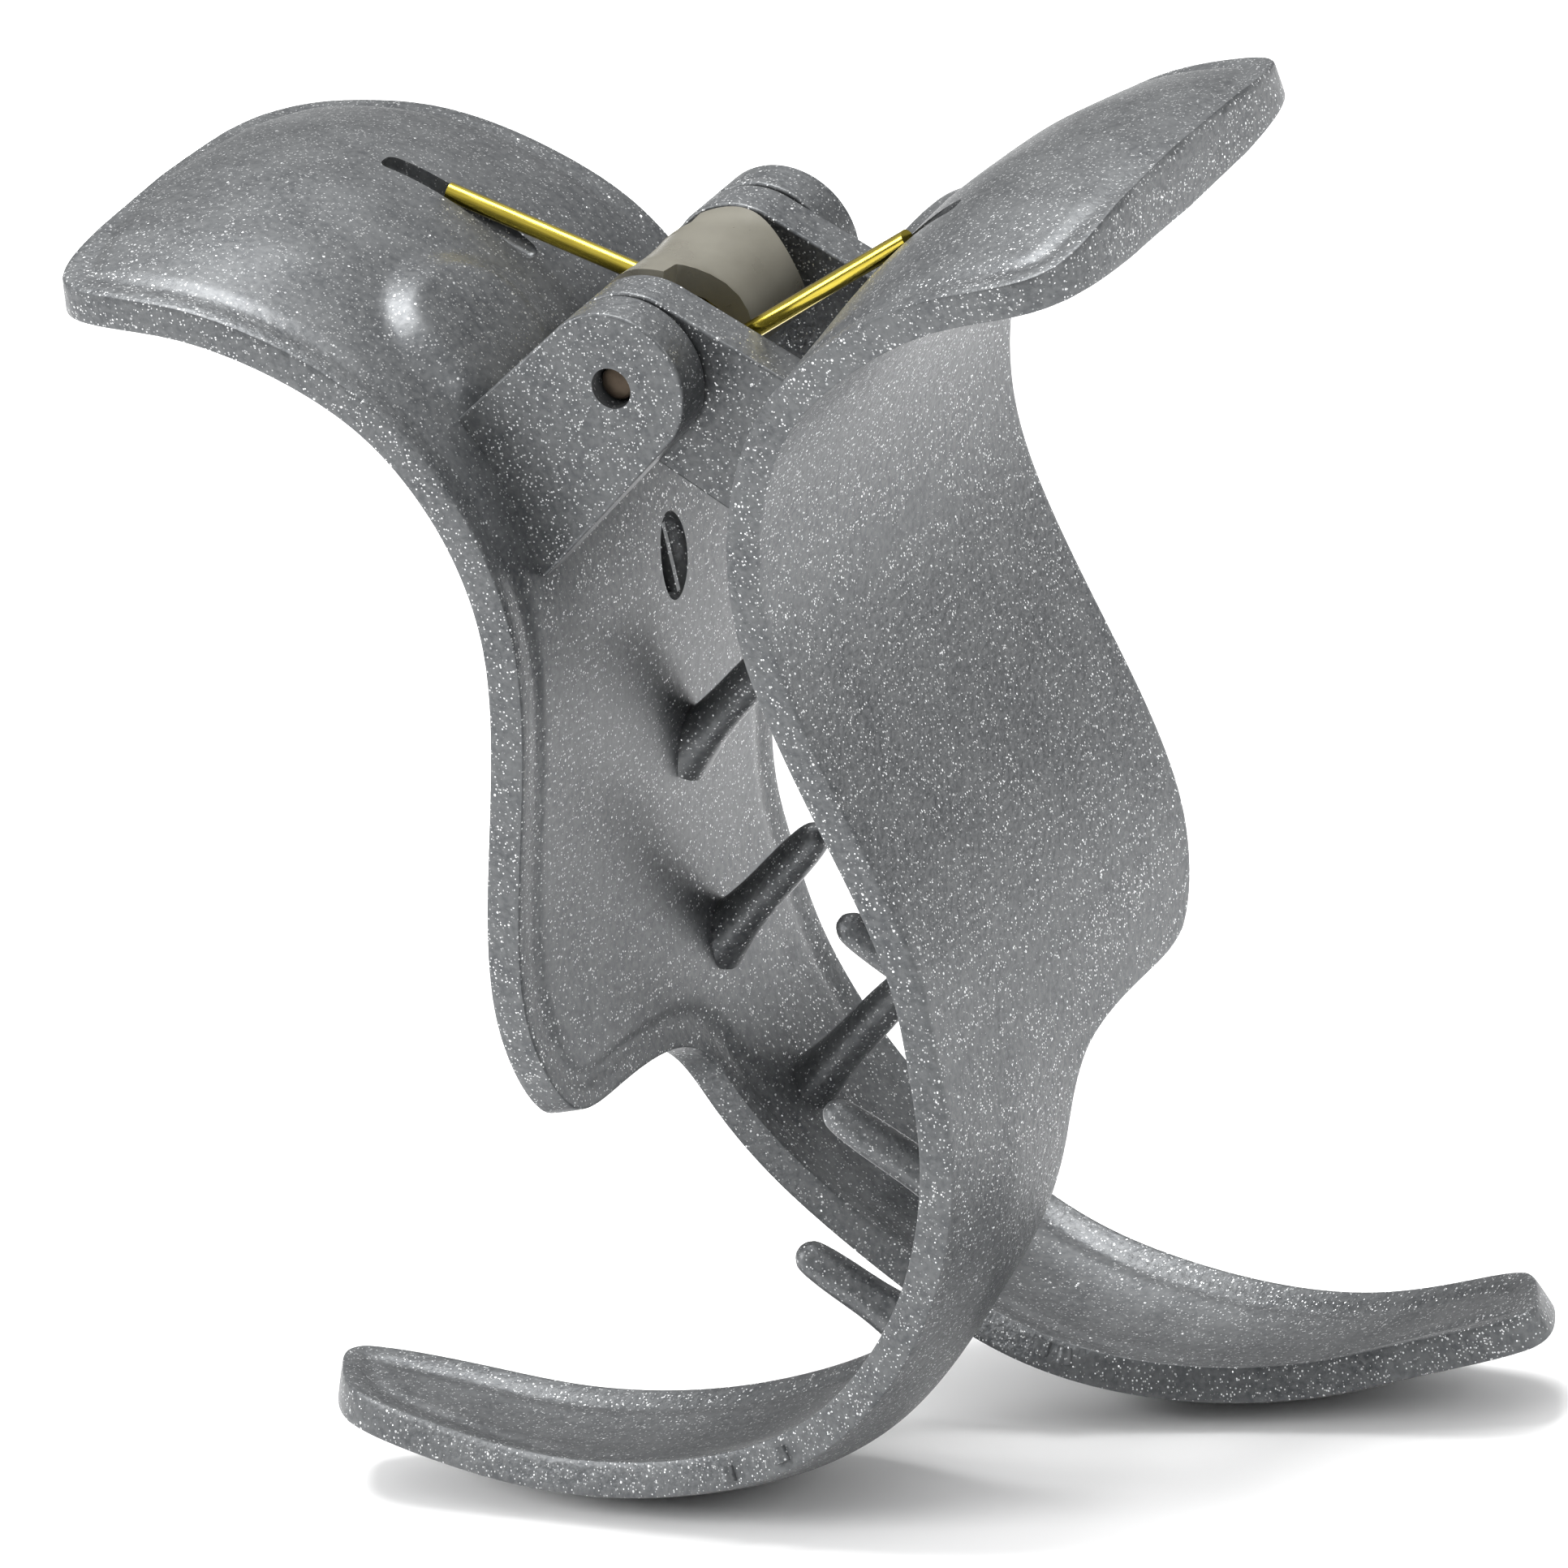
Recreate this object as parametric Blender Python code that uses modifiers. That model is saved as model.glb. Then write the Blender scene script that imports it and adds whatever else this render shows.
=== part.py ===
"""Large hair claw clip: two moulded jaws on one hinge pin, closed by a torsion spring.

Metres, +Z up. The hinge pin lies along Y at height HINGE_Z. The left jaw is on
the -X side. The right jaw has the same wall and teeth, turned half a turn about the
vertical line through the hinge, and its ears sit between the left jaw's ears. The
clip stands closed on its crossed tails.
"""
import math

import bmesh
import bpy
from mathutils import Matrix, Vector
from mathutils.bvhtree import BVHTree

# ---- driving dimensions, in metres --------------------------------------------
MM = 0.001
HINGE_Z = 75.645 * MM        # height of the pin above the lowest point of the tails
THICKEST = 5.0 * MM          # thickest place in the wall of a jaw
WALL = 2.6 * MM              # usual wall of a jaw
RIM_ROUND = 0.55 * MM        # rounding of the rims

LUG_R = 5.0 * MM             # round ear about the pin
LUG_OUT = 11.9 * MM          # outer face of the end ear, from the middle
LUG_T = 3.0 * MM             # thickness of one ear
LUG_GAP = 0.3 * MM           # slip between ears
TONGUE = ((-8.8, -13.2), (-12.6, -2.6))     # where an ear ends in the wall, in mm
BORE_R = 1.35 * MM           # pin hole
PIN_R = 1.15 * MM
PIN_HALF = 11.1 * MM         # half the length of the pin, sunk in the end ears

WIRE_R = 0.6 * MM            # spring wire
COIL_R = 2.05 * MM           # mean radius of the coil
COIL_TURNS = 7
LEG_Y = 4.75 * MM            # where each leg leaves the coil
LEG_SLOPE = math.radians(25.0)
LEG_LEN = 20.0 * MM

COVER_R = 3.0 * MM           # inside of the cover over the coil
COVER_T = 1.8 * MM           # wall of the cover, which is soft and thick
COVER_HALF = 5.2 * MM        # half its length along the pin
COVER_FLARE = 0.35 * MM      # how far its ends open out
COVER_ENDS = (-22.0, 200.0)  # its edges to the right and left of the pin, in degrees
COVER_NOTCH = (74.0, 104.0)  # where they stand instead, at the end where a leg swings
NOTCH_START = 2.1            # where a cut-away end begins, in mm from the middle
NOTCH_RUN = 1.6              # how far along the pin it takes to reach full depth, in mm

TOOTH_R = 1.15 * MM
TOOTH_RISE = math.radians(38.0)
# tip of each tooth of the left jaw, from the hinge: across, along the pin, down
TOOTH_TIPS = ((-2.8, 5.0, -24.4), (-4.4, 7.2, -37.7), (-2.2, 10.1, -49.0), (0.5, 12.6, -57.5))

# Sections of a jaw from handle to tail, in mm from the hinge. Each holds the middle
# of the wall (across, up), its front and back edges along the pin, how far those
# edges stand inside the middle (front, back), and the wall's thickness in the middle.
BODY = (
    (-36.2, 8.2, -16.2, 15.4, 0.4, -0.8, 4.4),
    (-31.6, 8.5, -17.3, 16.8, -0.5, -1.6, 5.0),
    (-26.8, 8.1, -17.4, 17.0, -0.7, -1.6, 5.0),
    (-22.1, 6.3, -17.4, 17.0, -0.6, -1.3, 4.9),
    (-18.0, 3.5, -17.1, 17.0, -0.3, -0.7, 4.5),
    (-14.4, 0.2, -17.0, 17.0, 0.0, 0.0, 3.8),
    (-11.7, -3.9, -17.0, 17.0, 0.1, 0.1, 3.3),
    (-9.8, -8.6, -17.0, 17.0, 0.1, 0.1, 3.0),
    (-9.0, -14.0, -17.0, 17.0, 0.1, 0.1, 3.0),
    (-9.6, -19.5, -17.0, 17.0, 0.0, 0.0, 3.0),
    (-11.2, -26.0, -17.0, 17.0, -0.1, -0.1, 3.0),
    (-13.1, -33.0, -17.0, 17.0, -0.3, -0.3, 3.0),
    (-14.2, -38.5, -16.9, 17.2, -0.4, -0.4, 3.0),
    (-14.4, -43.0, -16.4, 18.0, -0.5, -0.4, 3.0),
)
LOBE_END = (-14.6, -48.2)    # lower edge of the front lobe
TAIL = (
    (-14.9, -48.8, 2.2, 18.8, 0.0, 0.0, 3.0),
    (-13.7, -54.3, 3.0, 19.0, 0.2, 0.4, 3.0),
    (-11.4, -59.5, 3.7, 18.9, 0.6, 0.8, 3.0),
    (-7.9, -64.5, 4.1, 18.5, 1.3, 1.4, 3.0),
    (-3.4, -68.8, 3.6, 17.9, 1.8, 1.9, 3.0),
    (1.8, -71.9, 2.2, 16.7, 2.2, 2.3, 3.0),
    (7.6, -73.8, 1.3, 15.6, 2.2, 2.5, 3.0),
    (14.0, -74.8, 1.0, 14.3, 2.0, 2.4, 3.0),
    (20.5, -74.9, 0.9, 12.9, 1.8, 2.1, 3.0),
    (27.0, -74.1, 0.8, 11.5, 1.5, 1.8, 2.9),
    (33.4, -72.1, 0.7, 10.2, 1.0, 1.2, 2.7),
)
TIP = ((42.8, 0.5, -69.6), (41.2, 4.4, -69.4), (38.8, 8.8, -69.5))   # end of the tail
EDGE_WALL = 2.3              # wall at its edges, in mm
SLOT_START = (-13.6, 2.6)    # groove for the spring leg in the handle, near and far end
SLOT_END = (-23.2, 8.7)
SLOT_WIDE = 1.7 * MM
SLOT_DEEP = 2.0 * MM
RECESS = (-8.0, 3.2, -17.5)  # middle of the oval pocket below the ears, in mm
RECESS_HALF = (1.5, 1.7, 3.0)    # half its depth, width and height, in mm

COLORS = {
    "left_jaw": (0.30, 0.31, 0.33), "right_jaw": (0.33, 0.34, 0.36),
    "hinge_pin": (0.55, 0.50, 0.42), "torsion_spring": (0.75, 0.58, 0.18),
    "spring_cover": (0.46, 0.45, 0.40),
}


# ---- scene and helpers ---------------------------------------------------------
for old in list(bpy.data.objects):
    bpy.data.objects.remove(old, do_unlink=True)

scene = bpy.context.scene
parts = bpy.data.collections.new("hair_claw_clip")
cutters = bpy.data.collections.new("cutters")
scene.collection.children.link(parts)
scene.collection.children.link(cutters)

HINGE = Vector((0.0, 0.0, HINGE_Z))


def at(x, y, z):
    """A place given in mm from the middle of the hinge."""
    return Vector((x * MM, y * MM, HINGE_Z + z * MM))


def material(name):
    mat = bpy.data.materials.new(name)
    mat.use_nodes = True
    bsdf = mat.node_tree.nodes["Principled BSDF"]
    bsdf.inputs["Base Color"].default_value = (*COLORS[name], 1.0)
    bsdf.inputs["Roughness"].default_value = 0.4
    bsdf.inputs["Metallic"].default_value = 0.9 if name in ("hinge_pin", "torsion_spring") else 0.0
    return mat


def new_object(name, bm, collection):
    mesh = bpy.data.meshes.new(name)
    bm.to_mesh(mesh)
    bm.free()
    obj = bpy.data.objects.new(name, mesh)
    collection.objects.link(obj)
    return obj


def add_modifier(obj, kind, **settings):
    mod = obj.modifiers.new(kind.title(), kind)
    for key, value in settings.items():
        setattr(mod, key, value)
    return mod


def boolean(obj, other, operation):
    """Join or cut obj with a helper solid, which is kept in the cutters collection."""
    other.display_type = "WIRE"
    other.hide_render = True
    return add_modifier(obj, "BOOLEAN", operation=operation, object=other, solver="EXACT")


def cylinder(name, radius, y0, y1, sides=40):
    """A helper cylinder about the hinge line from y0 to y1."""
    bm = bmesh.new()
    bmesh.ops.create_cone(bm, cap_ends=True, segments=sides, radius1=radius, radius2=radius,
                          depth=abs(y1 - y0))
    spin = Matrix.Rotation(math.radians(90.0), 4, "X")
    place = Matrix.Translation(HINGE + Vector((0.0, (y0 + y1) / 2.0, 0.0)))
    bmesh.ops.transform(bm, matrix=place @ spin, verts=bm.verts)
    return new_object(name, bm, cutters)


def bake(obj):
    """Replace an object's mesh with its evaluated mesh and clear its modifiers."""
    deps = bpy.context.evaluated_depsgraph_get()
    mesh = bpy.data.meshes.new_from_object(obj.evaluated_get(deps), depsgraph=deps)
    obj.modifiers.clear()
    obj.data = mesh
    return obj


# ---- one jaw -------------------------------------------------------------------
def inward_normals(rows):
    """Unit normals of the wall's middle line, pointing to the hair side."""
    out = []
    for i in range(len(rows)):
        a, b = rows[max(i - 1, 0)], rows[min(i + 1, len(rows) - 1)]
        dx, dz = b[0] - a[0], b[1] - a[1]
        size = math.hypot(dx, dz)
        out.append((-dz / size, dx / size))
    return out


def section(row, normal, steps):
    """Points across one section, at the given fractions from front to back."""
    x, z, front, back, sag_f, sag_b = row[:6]
    nx, nz = normal
    points = []
    for f in steps:
        y = front + (back - front) * f
        side = 2.0 * f - 1.0
        sag = (sag_f if side < 0 else sag_b) * side * side
        points.append(at(x + nx * sag, y, z + nz * sag))
    return points


def jaw_shell(name):
    """The curved wall of the left jaw: a coarse sheet, smoothed and thickened."""
    rows = list(BODY) + list(TAIL)
    normals = inward_normals(rows)
    bm = bmesh.new()
    weights = []

    def line(points, thick):
        """Add one row of points; the wall is thickest in the middle of the row."""
        out = []
        last = len(points) - 1
        for i, p in enumerate(points):
            side = abs(2.0 * i / last - 1.0)
            weights.append((thick + (EDGE_WALL - thick) * side * side) * MM / THICKEST)
            out.append(bm.verts.new(p))
        return out

    five, three = (0.0, 0.25, 0.5, 0.75, 1.0), (0.0, 0.5, 1.0)
    grid = [line(section(row, normal, five), row[6]) for row, normal in zip(BODY, normals)]
    # the front lobe stops at a straight lower edge; the tail carries on behind it
    x, z = LOBE_END
    lobe = line([at(x + 0.4, -14.6, z - 0.3), at(x, -8.0, z)], WALL / MM)
    tail = line(section(TAIL[0], normals[len(BODY)], three), TAIL[0][6])
    grid.append(lobe + tail)
    for above, below in zip(grid, grid[1:]):
        for j in range(4):
            bm.faces.new((above[j], above[j + 1], below[j + 1], below[j]))
    for row, normal in zip(TAIL[1:], normals[len(BODY) + 1:]):
        below = line(section(row, normal, three), row[6])
        for j in range(2):
            bm.faces.new((tail[j], tail[j + 1], below[j + 1], below[j]))
        tail = below
    tip = line([at(*p) for p in TIP], EDGE_WALL)
    for j in range(2):
        bm.faces.new((tail[j], tail[j + 1], tip[j + 1], tip[j]))
    bmesh.ops.recalc_face_normals(bm, faces=bm.faces)
    shell = new_object(name, bm, cutters)
    group = shell.vertex_groups.new(name="wall")
    for i, weight in enumerate(weights):
        group.add([i], weight, "REPLACE")
    add_modifier(shell, "SUBSURF", levels=2, render_levels=2)
    bake(shell)
    add_modifier(shell, "SOLIDIFY", thickness=THICKEST, offset=0.0, use_even_offset=True,
                 vertex_group="wall")
    add_modifier(shell, "BEVEL", width=RIM_ROUND, segments=1, limit_method="ANGLE",
                 angle_limit=math.radians(50.0))
    return bake(shell)


def ear(name, y0, y1):
    """One hinge ear of the left jaw: a round end on the pin and a tongue to the wall."""
    bm = bmesh.new()
    steps = 22
    start, end = math.radians(126.0), math.radians(-47.0)
    outline = []
    for i in range(steps + 1):
        a = start + (end - start) * i / steps
        outline.append((LUG_R * math.cos(a), LUG_R * math.sin(a)))
    outline += [(x * MM, z * MM) for x, z in TONGUE]
    verts = [bm.verts.new(HINGE + Vector((x, y0, z))) for x, z in outline]
    face = bm.faces.new(verts)
    made = bmesh.ops.extrude_face_region(bm, geom=[face])
    moved = [v for v in made["geom"] if isinstance(v, bmesh.types.BMVert)]
    bmesh.ops.translate(bm, verts=moved, vec=(0.0, y1 - y0, 0.0))
    bmesh.ops.recalc_face_normals(bm, faces=bm.faces)
    return new_object(name, bm, cutters)


def tooth(name, tip, wall):
    """A round-ended tooth that stands off the inner wall, rooted in the middle of the wall."""
    direction = Vector((math.cos(TOOTH_RISE), 0.0, math.sin(TOOTH_RISE)))
    end = at(*tip)
    hit = wall.ray_cast(end, -direction)[0]
    root = hit - direction * (WALL * 0.55)
    bm = bmesh.new()
    sides, rings = 10, 3
    length = (end - root).length
    end_r, end_long = TOOTH_R * 0.85, TOOTH_R * 0.9
    profile = [(0.0, TOOTH_R * 1.25), (length * 0.35, TOOTH_R * 1.05), (length - end_long, end_r)]
    for i in range(1, rings):
        a = math.radians(90.0) * i / rings
        profile.append((length - end_long * (1.0 - math.sin(a)), end_r * math.cos(a)))
    u = Vector((0.0, 1.0, 0.0))
    v = direction.cross(u)
    loops = []
    for along, r in profile:
        loops.append([bm.verts.new(root + direction * along + u * r * math.cos(t) + v * r * math.sin(t))
                      for t in (2.0 * math.pi * k / sides for k in range(sides))])
    for a, b in zip(loops, loops[1:]):
        for k in range(sides):
            bm.faces.new((a[k], a[(k + 1) % sides], b[(k + 1) % sides], b[k]))
    bm.faces.new(loops[0])
    tip_vert = bm.verts.new(end)
    for k in range(sides):
        bm.faces.new((loops[-1][k], loops[-1][(k + 1) % sides], tip_vert))
    bmesh.ops.recalc_face_normals(bm, faces=bm.faces)
    return new_object(name, bm, cutters)


def slot_cutter(name):
    """The groove in the handle that takes the spring's leg."""
    (x0, z0), (x1, z1) = SLOT_START, SLOT_END
    length = math.hypot(x1 - x0, z1 - z0) * MM
    bm = bmesh.new()
    bmesh.ops.create_cube(bm, size=1.0)
    bmesh.ops.scale(bm, vec=(length, SLOT_WIDE, SLOT_DEEP), verts=bm.verts)
    turn = Matrix.Rotation(math.atan2(z1 - z0, -(x1 - x0)), 4, "Y")
    place = Matrix.Translation(at((x0 + x1) / 2.0, LEG_Y / MM, (z0 + z1) / 2.0))
    bmesh.ops.transform(bm, matrix=place @ turn, verts=bm.verts)
    return new_object(name, bm, cutters)


def recess_cutter(name):
    """An oval pocket in the inner wall below the ears."""
    bm = bmesh.new()
    bmesh.ops.create_uvsphere(bm, u_segments=20, v_segments=10, radius=1.0)
    size = Matrix.Diagonal([half * MM for half in RECESS_HALF] + [1.0])
    bmesh.ops.transform(bm, matrix=Matrix.Translation(at(*RECESS)) @ size, verts=bm.verts)
    return new_object(name, bm, cutters)


def make_jaw(name, ears):
    """One moulding in the place of the left jaw, with its pair of ears."""
    jaw = jaw_shell(name)
    cutters.objects.unlink(jaw)
    parts.objects.link(jaw)
    for i, (y0, y1) in enumerate(ears):
        boolean(jaw, ear("%s_ear_%d" % (name, i + 1), y0, y1), "UNION")
    wall = BVHTree.FromPolygons([v.co for v in jaw.data.vertices],
                                [list(p.vertices) for p in jaw.data.polygons])
    for i, tip in enumerate(TOOTH_TIPS):
        boolean(jaw, tooth("%s_tooth_%d" % (name, i + 1), tip, wall), "UNION")
    boolean(jaw, slot_cutter(name + "_groove"), "DIFFERENCE")
    boolean(jaw, recess_cutter(name + "_pocket"), "DIFFERENCE")
    boolean(jaw, cylinder(name + "_bore", BORE_R, -LUG_OUT - 1 * MM, LUG_OUT + 1 * MM), "DIFFERENCE")
    return bake(jaw)


# the left jaw's ears are the outer pair and the right jaw's ears fit between them
inner = LUG_OUT - LUG_T - LUG_GAP
left_jaw = make_jaw("left_jaw", ((-LUG_OUT, LUG_T - LUG_OUT), (LUG_OUT - LUG_T, LUG_OUT)))
right_jaw = make_jaw("right_jaw", ((-inner, LUG_T - inner), (inner - LUG_T, inner)))
right_jaw.data.transform(Matrix.Rotation(math.pi, 4, "Z"))


# ---- pin, spring and cover -----------------------------------------------------
def make_pin():
    pin = cylinder("hinge_pin", PIN_R, -PIN_HALF, PIN_HALF, sides=32)
    cutters.objects.unlink(pin)
    parts.objects.link(pin)
    add_modifier(pin, "BEVEL", width=0.25 * MM, segments=2, limit_method="ANGLE")
    return bake(pin)


def spring_path():
    """Right leg, coil and left leg, as one line of points."""
    tangent = Vector((-math.cos(LEG_SLOPE), 0.0, -math.sin(LEG_SLOPE)))
    start = math.radians(-90.0) + LEG_SLOPE
    total = -(2.0 * math.pi * COIL_TURNS + 2.0 * LEG_SLOPE)
    steps = 14 * COIL_TURNS
    coil = []
    for i in range(steps + 1):
        f = i / steps
        a = start + total * f
        coil.append(HINGE + Vector((COIL_R * math.cos(a), LEG_Y * (2.0 * f - 1.0), COIL_R * math.sin(a))))
    leave = Vector((-math.cos(LEG_SLOPE), 0.0, math.sin(LEG_SLOPE)))
    return [coil[0] - tangent * LEG_LEN] + coil + [coil[-1] + leave * LEG_LEN]


def make_spring():
    curve = bpy.data.curves.new("torsion_spring", "CURVE")
    curve.dimensions = "3D"
    curve.bevel_depth = WIRE_R
    curve.bevel_resolution = 2
    curve.use_fill_caps = True
    points = spring_path()
    spline = curve.splines.new("POLY")
    spline.points.add(len(points) - 1)
    for spot, p in zip(spline.points, points):
        spot.co = (*p, 1.0)
    holder = bpy.data.objects.new("spring_curve", curve)
    cutters.objects.link(holder)
    deps = bpy.context.evaluated_depsgraph_get()
    mesh = bpy.data.meshes.new_from_object(holder.evaluated_get(deps), depsgraph=deps)
    bpy.data.objects.remove(holder, do_unlink=True)
    bm = bmesh.new()
    bm.from_mesh(mesh)
    bmesh.ops.remove_doubles(bm, verts=bm.verts, dist=0.00001)
    bmesh.ops.recalc_face_normals(bm, faces=bm.faces)
    return new_object("torsion_spring", bm, parts)


def cover_edges(y):
    """Angles of the cover's two edges at a place along the pin, in mm."""
    def notch(t):
        t = min(max((t - NOTCH_START) / NOTCH_RUN, 0.0), 1.0)
        return t * t * (3.0 - 2.0 * t)
    right = COVER_ENDS[0] + (COVER_NOTCH[0] - COVER_ENDS[0]) * notch(-y)
    left = COVER_ENDS[1] + (COVER_NOTCH[1] - COVER_ENDS[1]) * notch(y)
    return math.radians(right), math.radians(left)


def make_cover():
    """A thick soft saddle over the coil, cut away at each end where a leg swings past."""
    bm = bmesh.new()
    arcs = 15
    half = COVER_HALF / MM
    # rows stand closest together where the cut-away ends curve
    ends = (half, 4.4, 3.7, 3.4, 3.15, 2.9, 2.65, 2.4, 2.1, 1.0)
    rows = []
    for y in [-t for t in ends] + [0.0] + list(reversed(ends)):
        right, left = cover_edges(y)
        r = COVER_R + COVER_T / 2.0 + COVER_FLARE * (y / half) ** 2
        line = []
        for k in range(arcs + 1):
            a = right + (left - right) * k / arcs
            place = Vector((r * math.cos(a), y * MM, r * math.sin(a)))
            line.append(bm.verts.new(HINGE + place))
        rows.append(line)
    for a, b in zip(rows, rows[1:]):
        for k in range(arcs):
            bm.faces.new((a[k], a[k + 1], b[k + 1], b[k]))
    bmesh.ops.recalc_face_normals(bm, faces=bm.faces)
    cover = new_object("spring_cover", bm, parts)
    add_modifier(cover, "SOLIDIFY", thickness=COVER_T, offset=0.0)
    return bake(cover)


pin = make_pin()
spring = make_spring()
cover = make_cover()

for obj in (left_jaw, right_jaw, pin, spring, cover):
    obj.data.materials.clear()
    obj.data.materials.append(material(obj.name))

# moving pieces have their origins on the hinge line
for obj in (right_jaw, pin, spring, cover):
    obj.data.transform(Matrix.Translation(-HINGE))
    obj.location = HINGE

bpy.context.view_layer.update()
low = min((o.matrix_world @ v.co).z for o in parts.objects for v in o.data.vertices)
print("lowest point", round(low * 1000, 3), "mm")
for obj in parts.objects:
    tris = sum(len(p.vertices) - 2 for p in obj.data.polygons)
    print(obj.name, "tris", tris)
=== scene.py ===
# %% [markdown]
# # A sparkle-plastic hair claw clip
# Two moulded jaws swing on one wire pin. A torsion spring around the pin pushes the
# handles apart, so the tails cross and the teeth close on the hair. We load the solid
# model as a fixed frame, then build finer pieces around it with real finishes.

# %% Load the frame
import math

import bmesh
import bpy
from mathutils import Matrix, Vector
from mathutils.bvhtree import BVHTree
from mathutils.kdtree import KDTree


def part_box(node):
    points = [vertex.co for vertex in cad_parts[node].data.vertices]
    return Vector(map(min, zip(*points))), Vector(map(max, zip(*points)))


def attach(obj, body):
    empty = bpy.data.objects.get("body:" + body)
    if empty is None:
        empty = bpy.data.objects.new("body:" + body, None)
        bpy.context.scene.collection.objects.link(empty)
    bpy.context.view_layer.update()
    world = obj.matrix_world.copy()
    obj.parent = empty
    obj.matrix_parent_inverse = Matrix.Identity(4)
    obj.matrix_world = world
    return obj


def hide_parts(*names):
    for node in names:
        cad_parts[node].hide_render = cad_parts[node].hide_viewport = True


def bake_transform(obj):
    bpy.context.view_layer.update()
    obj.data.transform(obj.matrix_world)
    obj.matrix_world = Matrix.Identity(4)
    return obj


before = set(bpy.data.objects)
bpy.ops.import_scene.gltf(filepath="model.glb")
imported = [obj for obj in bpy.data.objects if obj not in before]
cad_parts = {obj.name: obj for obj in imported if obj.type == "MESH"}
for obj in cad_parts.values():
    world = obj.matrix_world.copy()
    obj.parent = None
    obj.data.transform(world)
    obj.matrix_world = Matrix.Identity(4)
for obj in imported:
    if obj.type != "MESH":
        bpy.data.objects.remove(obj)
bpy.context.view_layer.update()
pin_low, pin_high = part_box("hinge_pin")
HINGE = (pin_low + pin_high) / 2
MM = 0.001
print("hinge at", [round(v * 1000, 2) for v in HINGE], "mm")

# %% [markdown]
# ## Measuring from the hinge
# Everything on a clip is laid out from its pin, so a small helper turns millimetres
# from the hinge into a place in the frame. The other helpers put a mesh into the scene
# and turn a modified object back into a plain mesh.

# %% Small helpers
def at(x, y, z):
    """A place given in mm from the middle of the hinge."""
    return HINGE + Vector((x * MM, y * MM, z * MM))


def put(name, bm):
    """Make an object from a bmesh and free the bmesh."""
    mesh = bpy.data.meshes.new(name)
    bm.to_mesh(mesh)
    bm.free()
    obj = bpy.data.objects.new(name, mesh)
    bpy.context.scene.collection.objects.link(obj)
    return obj


def modify(obj, kind, **settings):
    mod = obj.modifiers.new(kind.title(), kind)
    for key, value in settings.items():
        setattr(mod, key, value)
    return mod


def plain(obj):
    """Replace an object's mesh with its evaluated mesh and drop its modifiers."""
    deps = bpy.context.evaluated_depsgraph_get()
    mesh = bpy.data.meshes.new_from_object(obj.evaluated_get(deps), depsgraph=deps)
    obj.modifiers.clear()
    obj.data = mesh
    return obj


print("one mm is", MM, "m")

# %% [markdown]
# ## The wall of a jaw
# A jaw is one curved wall that runs from the thumb handle, in at the waist, out over the
# hair, and on into a long tail. We give the middle of the wall at a handful of sections,
# as a designer lofts a hull, and let Subdivision Surface find the smooth curve between
# them. Each row holds across, up, front edge, back edge, the two sags and the thickness.

# %% Sections of the wall
BODY = (
    (-36.2, 8.2, -16.2, 15.4, 0.4, -0.8, 4.4),
    (-31.6, 8.5, -17.3, 16.8, -0.5, -1.6, 5.0),
    (-26.8, 8.1, -17.4, 17.0, -0.7, -1.6, 5.0),
    (-22.1, 6.3, -17.4, 17.0, -0.6, -1.3, 4.9),
    (-18.0, 3.5, -17.1, 17.0, -0.3, -0.7, 4.5),
    (-14.4, 0.2, -17.0, 17.0, 0.0, 0.0, 3.8),
    (-11.7, -3.9, -17.0, 17.0, 0.1, 0.1, 3.3),
    (-9.8, -8.6, -17.0, 17.0, 0.1, 0.1, 3.0),
    (-9.0, -14.0, -17.0, 17.0, 0.1, 0.1, 3.0),
    (-9.6, -19.5, -17.0, 17.0, 0.0, 0.0, 3.0),
    (-11.2, -26.0, -17.0, 17.0, -0.1, -0.1, 3.0),
    (-13.1, -33.0, -17.0, 17.0, -0.3, -0.3, 3.0),
    (-14.2, -38.5, -16.9, 17.2, -0.4, -0.4, 3.0),
    (-14.4, -43.0, -16.4, 18.0, -0.5, -0.4, 3.0),
)
TAIL = (
    (-14.9, -48.8, 2.2, 18.8, 0.0, 0.0, 3.0),
    (-13.7, -54.3, 3.0, 19.0, 0.2, 0.4, 3.0),
    (-11.4, -59.5, 3.7, 18.9, 0.6, 0.8, 3.0),
    (-7.9, -64.5, 4.1, 18.5, 1.3, 1.4, 3.0),
    (-3.4, -68.8, 3.6, 17.9, 1.8, 1.9, 3.0),
    (1.8, -71.9, 2.2, 16.7, 2.2, 2.3, 3.0),
    (7.6, -73.8, 1.3, 15.6, 2.2, 2.5, 3.0),
    (14.0, -74.8, 1.0, 14.3, 2.0, 2.4, 3.0),
    (20.5, -74.9, 0.9, 12.9, 1.8, 2.1, 3.0),
    (27.0, -74.1, 0.8, 11.5, 1.5, 1.8, 2.9),
    (33.4, -72.1, 0.7, 10.2, 1.0, 1.2, 2.7),
)
LOBE = ((-14.2, -14.6, -48.5), (-14.6, -8.0, -48.2))
TIP = ((42.8, 0.5, -69.6), (41.2, 4.4, -69.4), (38.8, 8.8, -69.5))
THICKEST, EDGE_WALL = 5.0, 2.3
print(len(BODY), "body sections and", len(TAIL), "tail sections")

# %% Loft the middle of the wall
def across(rows, i, steps):
    """Points across section i, with its edges sagging towards or away from the hair."""
    x, z, front, back, sag_front, sag_back = rows[i][:6]
    a, b = rows[max(i - 1, 0)], rows[min(i + 1, len(rows) - 1)]
    dx, dz = b[0] - a[0], b[1] - a[1]
    size = math.hypot(dx, dz)
    points = []
    for k in range(steps + 1):
        side = 2.0 * k / steps - 1.0
        sag = (sag_front if side < 0 else sag_back) * side * side
        y = front + (back - front) * k / steps
        points.append(at(x - dz / size * sag, y, z + dx / size * sag))
    return points


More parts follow.
